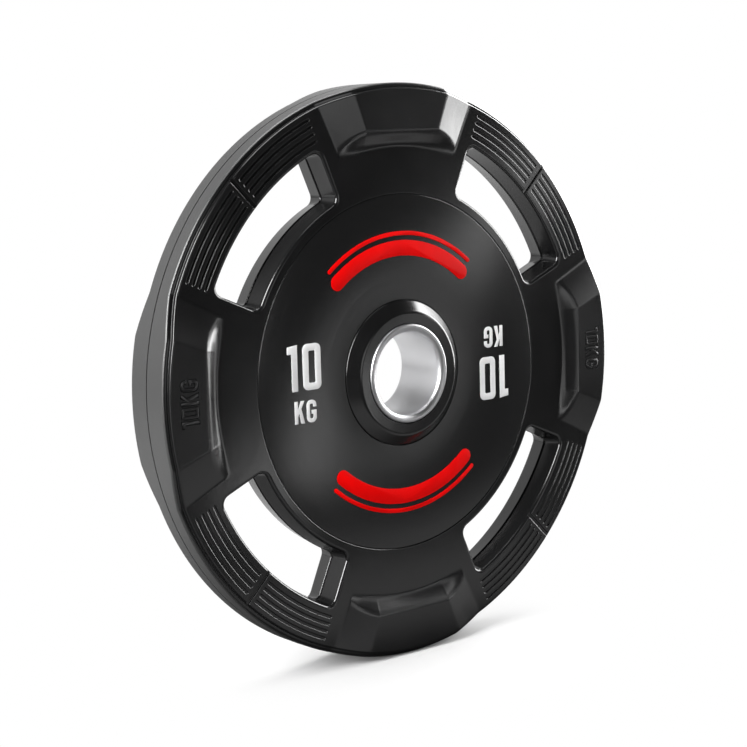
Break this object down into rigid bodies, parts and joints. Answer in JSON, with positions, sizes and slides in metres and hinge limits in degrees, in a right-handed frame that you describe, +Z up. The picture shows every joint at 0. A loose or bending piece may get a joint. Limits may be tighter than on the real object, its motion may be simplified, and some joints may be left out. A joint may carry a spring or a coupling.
{
  "type": "rubber weight plate",
  "caption": "Round rubber-covered weight plate with raised pads, grip windows between them, printed face discs and a flanged steel bush in the centre.",
  "frame": {"origin": "centre of the bore on the plate's mid-plane", "axes": "+Y along the bore axis towards the rear face, -Y out of the front face, +Z up through the top pad, +X to the right of someone facing the front"},
  "size_m": [0.354, 0.0404, 0.354],
  "materials": {
    "black rubber": "fine satin, moulded",
    "satin black disc": "fine grained satin",
    "cast iron": "rough as cast",
    "rolled steel": "turned and polished lip, satin bore",
    "white print": "flat printed film",
    "red print": "flat printed film"
  },
  "bodies": {
    "root": {"steel_bush": "rolled steel", "iron_core": "cast iron", "front_cover": "black rubber", "front_disc": "satin black disc", "rear_cover": "black rubber", "rear_disc": "satin black disc", "front_left_one": "white print", "front_left_zero": "white print", "front_left_k": "white print", "front_left_g": "white print", "front_right_one": "white print", "front_right_zero": "white print", "front_right_k": "white print", "front_right_g": "white print", "front_top_wide_stripe": "red print", "front_top_fine_stripe": "red print", "front_bottom_wide_stripe": "red print", "front_bottom_fine_stripe": "red print", "rear_left_one": "white print", "rear_left_zero": "white print", "rear_left_k": "white print", "rear_left_g": "white print", "rear_right_one": "white print", "rear_right_zero": "white print", "rear_right_k": "white print", "rear_right_g": "white print", "rear_top_wide_stripe": "red print", "rear_top_fine_stripe": "red print", "rear_bottom_wide_stripe": "red print", "rear_bottom_fine_stripe": "red print"}
  },
  "joints": []
}
